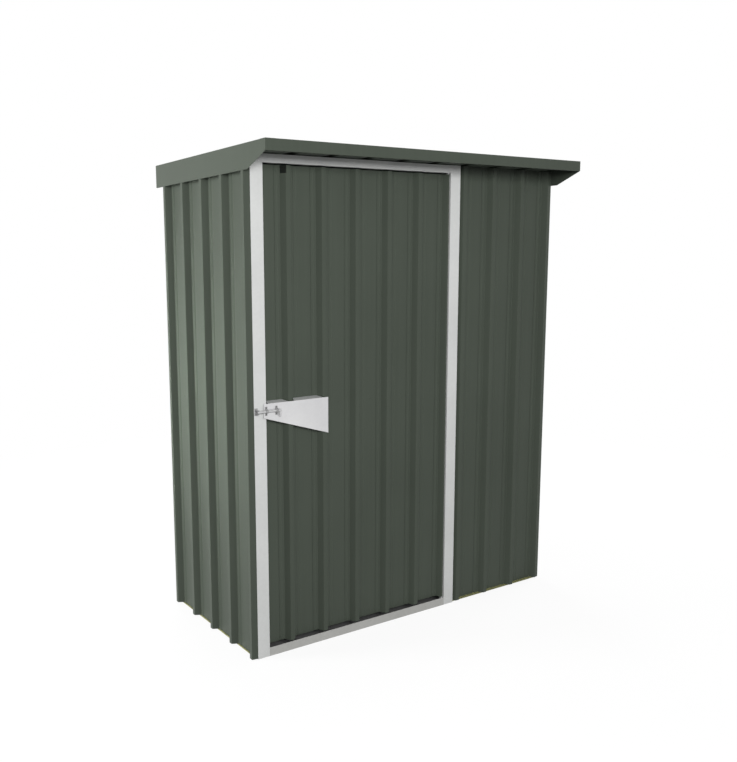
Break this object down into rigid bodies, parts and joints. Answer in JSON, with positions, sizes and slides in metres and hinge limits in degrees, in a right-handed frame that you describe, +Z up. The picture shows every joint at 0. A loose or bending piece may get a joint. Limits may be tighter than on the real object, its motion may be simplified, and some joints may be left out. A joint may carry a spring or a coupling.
{
  "type": "metal tool shed",
  "caption": "Small skillion-roof tool shed in ribbed steel sheet, hollow, with an outward-opening ribbed door and a slide bolt on a tapered latch plate.",
  "frame": {"origin": "centre of the shed's bounding box on the ground", "axes": "+Z up, +Y from the door front to the back wall, +X to the right seen from the front"},
  "size_m": [1.5, 0.91, 1.874],
  "materials": {
    "olive_sheet": "satin baked paint, dark grey-green",
    "frame_zinc": "matt galvanised, pale silver",
    "bright_zinc": "bright zinc plated",
    "galvanised": "galvanised, faint spangle",
    "treated_pine": "sawn treated pine, green-yellow"
  },
  "bodies": {
    "shed": {"sole_strips": "treated_pine", "bottom_rails": "galvanised", "middle_rails": "galvanised", "top_rails": "galvanised", "corner_posts": "galvanised", "roof_purlin": "galvanised", "left_jamb": "frame_zinc", "right_jamb": "frame_zinc", "header": "frame_zinc", "sill": "frame_zinc", "left_wall": "olive_sheet", "right_wall": "olive_sheet", "back_wall": "olive_sheet", "front_panel": "olive_sheet", "roof_sheet": "olive_sheet", "front_fascia": "olive_sheet", "left_barge": "olive_sheet", "right_barge": "olive_sheet", "bolt_keeper": "bright_zinc"},
    "door": {"door_sheet": "olive_sheet", "hinge_stile": "galvanised", "latch_stile": "galvanised", "door_top_rail": "galvanised", "door_middle_rail": "galvanised", "door_bottom_rail": "galvanised", "pivot_rod": "bright_zinc", "pivot_straps": "galvanised", "latch_plate": "bright_zinc", "bolt_guides": "bright_zinc"},
    "bolt": {"slide_bolt": "bright_zinc"}
  },
  "joints": [
    {"name": "door_hinge", "type": "hinge", "parent": "shed", "child": "door", "pos_m": [0.167, -0.2925, 0.9], "axis": [0, 0, 1], "range_deg": [0, 100]},
    {"name": "bolt_slide", "type": "slide", "parent": "door", "child": "bolt", "axis": [1, 0, 0], "range_m": [0, 0.038]}
  ]
}
